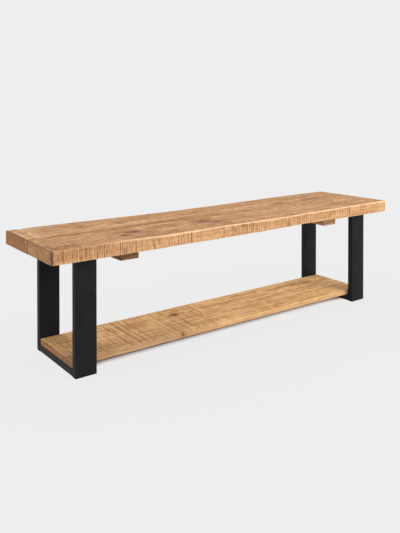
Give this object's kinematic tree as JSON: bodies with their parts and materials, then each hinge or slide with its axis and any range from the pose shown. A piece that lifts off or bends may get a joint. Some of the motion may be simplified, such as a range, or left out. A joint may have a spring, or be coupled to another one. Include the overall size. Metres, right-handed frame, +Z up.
{
  "type": "entryway bench",
  "caption": "Long low bench with a thick rustic timber seat on two closed flat-tube steel leg frames, and a timber shelf between the frames just above the floor.",
  "frame": {"origin": "on the floor, under the middle of the seat", "axes": "+X along the seat to the right as seen from the front, +Y from front to rear, +Z up"},
  "size_m": [1.66, 0.41, 0.45],
  "materials": {
    "seat_timber": "rough-sawn, lightly brushed and oiled, warm caramel",
    "shelf_timber": "rough-sawn and oiled, a little yellower than the seat",
    "batten_timber": "sawn, unfinished",
    "dowel_timber": "plain turned hardwood",
    "frame_steel": "fine matte black powder coat",
    "foot_plastic": "matte moulded",
    "black_screw": "black zinc, satin",
    "zinc_screw": "bright zinc plate"
  },
  "bodies": {
    "root": {"top_plank_front": "seat_timber", "top_plank_rear": "seat_timber", "seam_dowel_1": "dowel_timber", "seam_dowel_2": "dowel_timber", "seam_dowel_3": "dowel_timber", "seam_dowel_4": "dowel_timber", "batten_left": "batten_timber", "batten_right": "batten_timber", "shelf_board": "shelf_timber", "upright_left_front": "frame_steel", "upright_left_rear": "frame_steel", "upright_right_front": "frame_steel", "upright_right_rear": "frame_steel", "bottom_bar_left": "frame_steel", "bottom_bar_right": "frame_steel", "mounting_plate_left": "frame_steel", "mounting_plate_right": "frame_steel", "foot_plug_left_front": "foot_plastic", "foot_plug_left_rear": "foot_plastic", "foot_plug_right_front": "foot_plastic", "foot_plug_right_rear": "foot_plastic", "plate_screw_left_1": "black_screw", "plate_screw_left_2": "black_screw", "plate_screw_left_3": "black_screw", "plate_screw_left_4": "black_screw", "plate_screw_right_1": "black_screw", "plate_screw_right_2": "black_screw", "plate_screw_right_3": "black_screw", "plate_screw_right_4": "black_screw", "batten_screw_left_1": "zinc_screw", "batten_screw_left_2": "zinc_screw", "batten_screw_left_3": "zinc_screw", "batten_screw_left_4": "zinc_screw", "batten_screw_right_1": "zinc_screw", "batten_screw_right_2": "zinc_screw", "batten_screw_right_3": "zinc_screw", "batten_screw_right_4": "zinc_screw", "shelf_screw_left_front": "black_screw", "shelf_screw_left_rear": "black_screw", "shelf_screw_right_front": "black_screw", "shelf_screw_right_rear": "black_screw"}
  },
  "joints": []
}
